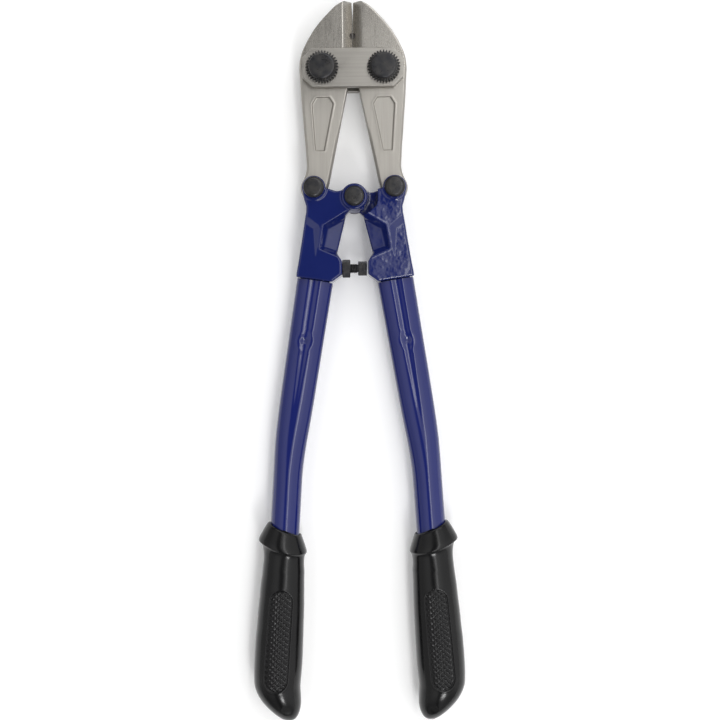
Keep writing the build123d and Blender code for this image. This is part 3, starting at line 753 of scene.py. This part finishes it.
def grip_ring(row, e=2.15):
    xo, yo, xi, yi, dep = row
    cx, cy = (xo + xi) / 2, (yo + yi) / 2
    hx, hy = (xo - xi) / 2, (yo - yi) / 2
    ca, sa = np.cos(gang), np.sin(gang)
    px = np.sign(ca) * np.abs(ca) ** (2 / e)
    pz = np.sign(sa) * np.abs(sa) ** (2 / e)
    sag = float(np.interp(yo, [-135, -120, -111, -101], [0, 2.2, 2.0, 1.0]))
    x, y, z = cx + hx * px, cy + hy * px - sag * np.abs(pz) ** 2, dep * pz
    dist, t = panel_distance(x, y)
    face = np.clip((np.abs(pz) - 0.35) / 0.2, 0, 1)
    sink = np.clip(-dist / 0.9, 0, 1)
    sink = sink * sink * (3 - 2 * sink)
    inside = np.clip((-dist - 0.9) / 0.5, 0, 1)
    drop = 0.95 * sink - 0.62 * knurl(x, y) * inside - 0.12 * np.exp(-((dist - 0.55) / 0.5) ** 2)
    # moulded dimple near the heel
    r = np.hypot((x - 45.4) / 1.15, (y + 216.3) / 0.95)
    drop = drop + 0.7 * np.clip(1 - (r / 3.3) ** 2, 0, 1) ** 1.5
    z = z - np.sign(z) * drop * face
    return np.stack([x, y, ZM + z], -1)


rings = [grip_ring(r) for r in table]
# the bore that the tube sits in, closed at its bottom
bore = []
for y in (-206.5, -160.0, -112.0):
    x0, le = tube_axis(y)
    ca, sa = np.cos(gang), np.sin(gang)
    bore.append(np.stack([x0 + 9.19 * ca * math.cos(le), y + 9.19 * ca * math.sin(le), ZM + 9.19 * sa], -1))
x0, le = tube_axis(-104.5)
first = ctrl[0]
ca, sa = np.cos(gang), np.sin(gang)
bore.append(np.stack([(first[0] + first[2]) / 2 + (first[0] - first[2]) / 2 * 0.9995 * ca, (first[1] + first[3]) / 2 + (first[1] - first[3]) / 2 * ca, ZM + 9.2 * sa], -1))
rings = bore + rings
n = len(rings)
pts = np.concatenate(rings)
idx = np.arange(n * gseg).reshape(n, gseg)
q = []
for i in range(n - 1):
    a, b = idx[i], idx[i + 1]
    q.append(np.stack([a, np.roll(a, -1), np.roll(b, -1), b], 1))
q = np.concatenate(q)
caps = [tuple(int(k) for k in idx[0][::-1]), tuple(int(k) for k in idx[-1])]
faces = [tuple(int(k) for k in f) for f in q] + caps
for side_name, flip in (("right", False), ("left", True)):
    ob = mesh_object(f"moulded_grip_{side_name}", pts, faces, pvc, flip)
    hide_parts(f"grip_{side_name}")
    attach(ob, f"handle_{side_name}")


# ---------------------------------------------------------------- side plates rebuilt; CAD washers and nuts kept
def keep(node, mat_, width, segments=3):
    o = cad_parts[node]
    o.data.materials.clear()
    o.data.materials.append(mat_)
    we = o.modifiers.new("weld", "WELD")
    we.merge_threshold = 0.00002
    be = o.modifiers.new("bevel", "BEVEL")
    be.width = width * MM
    be.segments = segments
    be.limit_method = "ANGLE"
    be.angle_limit = math.radians(25)
    be.harden_normals = True


strap_outline = [(-25.3, 170.2), (25.3, 170.2), (31.4, 176.3), (31.4, 188.6), (25.3, 194.7), (-25.3, 194.7), (-31.4, 188.6), (-31.4, 176.3)]


def strap_field(x, y, z, middle):
    d2 = poly(strap_outline, x, y)
    d = bevel(d2, np.abs(z - middle) - 2.0, 0.55)
    for sx in (-1, 1):
        d = cut(d, np.hypot(x - sx * A[0], y - A[1]) - 5.06, 0.3)
    return d


for n_, middle in (("front", 23.05), ("rear", 6.95)):
    v, q = surface(lambda x, y, z: strap_field(x, y, z, middle), (-32.2, 169.4, middle - 2.6), (32.2, 195.5, middle + 2.6), 0.27)
    ob = mesh_object(f"side_plate_{n_}", v, q, strap_steel)
    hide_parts(f"{n_}_strap")
    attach(ob, "straps")
for n_ in [f"{p}_{k}_{s}" for p in ("jaw", "tail") for k in ("washer", "nut") for s in ("left", "right")] + ["centre_washer", "centre_nut"]:
    keep(n_, oxide, 0.14)

# ---------------------------------------------------------------- floor, light and camera
floor_mat = bpy.data.materials.new("floor")
floor_mat.use_nodes = True
fb = floor_mat.node_tree.nodes["Principled BSDF"]
fb.inputs["Emission Color"].default_value = (1, 1, 1, 1)
fb.inputs["Emission Strength"].default_value = 0.14
fb.inputs["Base Color"].default_value = (0.93, 0.93, 0.93, 1)
fb.inputs["Roughness"].default_value = 0.75
me = bpy.data.meshes.new("floor")
me.from_pydata([(-3, -3, -0.0004), (3, -3, -0.0004), (3, 3, -0.0004), (-3, 3, -0.0004)], [], [(0, 1, 2, 3)])
me.materials.append(floor_mat)
floor = bpy.data.objects.new("floor", me)
bpy.context.scene.collection.objects.link(floor)

scene = bpy.context.scene
scene.view_settings.view_transform = "Standard"

# a plain studio of long pale panels either side of a narrow dark gap overhead, where the boom is
world = bpy.data.worlds.new("studio")
scene.world = world
world.use_nodes = True
wt = world.node_tree
bg = wt.nodes["Background"]
bg.inputs["Color"].default_value = (1, 1, 1, 1)
wc = wt.nodes.new("ShaderNodeTexCoord")
ws = wt.nodes.new("ShaderNodeSeparateXYZ")
wt.links.new(wc.outputs["Generated"], ws.inputs[0])
wa = wt.nodes.new("ShaderNodeMath")
wa.operation = "ARCTAN2"
wt.links.new(ws.outputs["X"], wa.inputs[0])
wt.links.new(ws.outputs["Z"], wa.inputs[1])
wn = wt.nodes.new("ShaderNodeMapRange")
wn.inputs["From Min"].default_value = -math.pi
wn.inputs["From Max"].default_value = math.pi
wt.links.new(wa.outputs[0], wn.inputs["Value"])
wr = wt.nodes.new("ShaderNodeValToRGB")
PANEL_MAX = 2.0
# (angle from straight up towards +X in degrees, radiance)
panels = [(-180, 0.40), (-90, 0.55), (-60, 0.58), (-32, 0.95), (-18, 0.95), (-10, 0.12), (1.5, 0.06), (5.0, 1.35), (22, 1.60), (42, 1.15), (75, 0.95), (100, 0.70), (180, 0.40)]
el = wr.color_ramp.elements
for i, (deg, level) in enumerate(panels):
    e = el[i] if i < 2 else el.new(1.0)
    e.position = (deg + 180) / 360
    v_ = level / PANEL_MAX
    e.color = (v_, v_, v_, 1)
wt.links.new(wn.outputs["Result"], wr.inputs["Fac"])
wm = wt.nodes.new("ShaderNodeMath")
wm.operation = "MULTIPLY"
wm.inputs[1].default_value = PANEL_MAX
wt.links.new(wr.outputs["Color"], wm.inputs[0])
wy = wt.nodes.new("ShaderNodeMath")
wy.operation = "ABSOLUTE"
wt.links.new(ws.outputs["Y"], wy.inputs[0])
wf = wt.nodes.new("ShaderNodeMapRange")
wf.interpolation_type = "SMOOTHSTEP"
wf.inputs["From Min"].default_value, wf.inputs["From Max"].default_value = 0.38, 0.72
wf.inputs["To Min"].default_value, wf.inputs["To Max"].default_value = 1.0, 0.42
wt.links.new(wy.outputs[0], wf.inputs["Value"])
wp = wt.nodes.new("ShaderNodeMath")
wp.operation = "MULTIPLY"
wt.links.new(wm.outputs[0], wp.inputs[0])
wt.links.new(wf.outputs["Result"], wp.inputs[1])
wt.links.new(wp.outputs[0], bg.inputs["Strength"])


def softbox(name, pos, target, size_x, size_y, power):
    li = bpy.data.lights.new(name, "AREA")
    li.shape = "RECTANGLE"
    li.size, li.size_y = size_x, size_y
    li.energy = power
    o = bpy.data.objects.new(name, li)
    bpy.context.scene.collection.objects.link(o)
    o.location = pos
    from mathutils import Vector
    d = Vector(target) - Vector(pos)
    o.rotation_euler = d.to_track_quat("-Z", "Y").to_euler()
    return o


softbox("key", (0.25, 0.0, 1.10), (0, 0, 0), 1.9, 0.13, 2.4)
softbox("lamp", (0.27, -0.98, 1.10), (0, -0.1, 0), 0.26, 0.26, 4.2)
softbox("far", (0.25, 1.25, 0.85), (0, 0, 0), 1.6, 0.7, 6.0)

cam = bpy.data.cameras.new("camera")
cam.lens = 61.7
cam.sensor_width = 36.0
camera = bpy.data.objects.new("camera", cam)
bpy.context.scene.collection.objects.link(camera)
camera.location = (0.0024, 0.0007, 0.790)
camera.rotation_euler = (0.0, 0.0, math.radians(-0.63))
bpy.context.scene.camera = camera
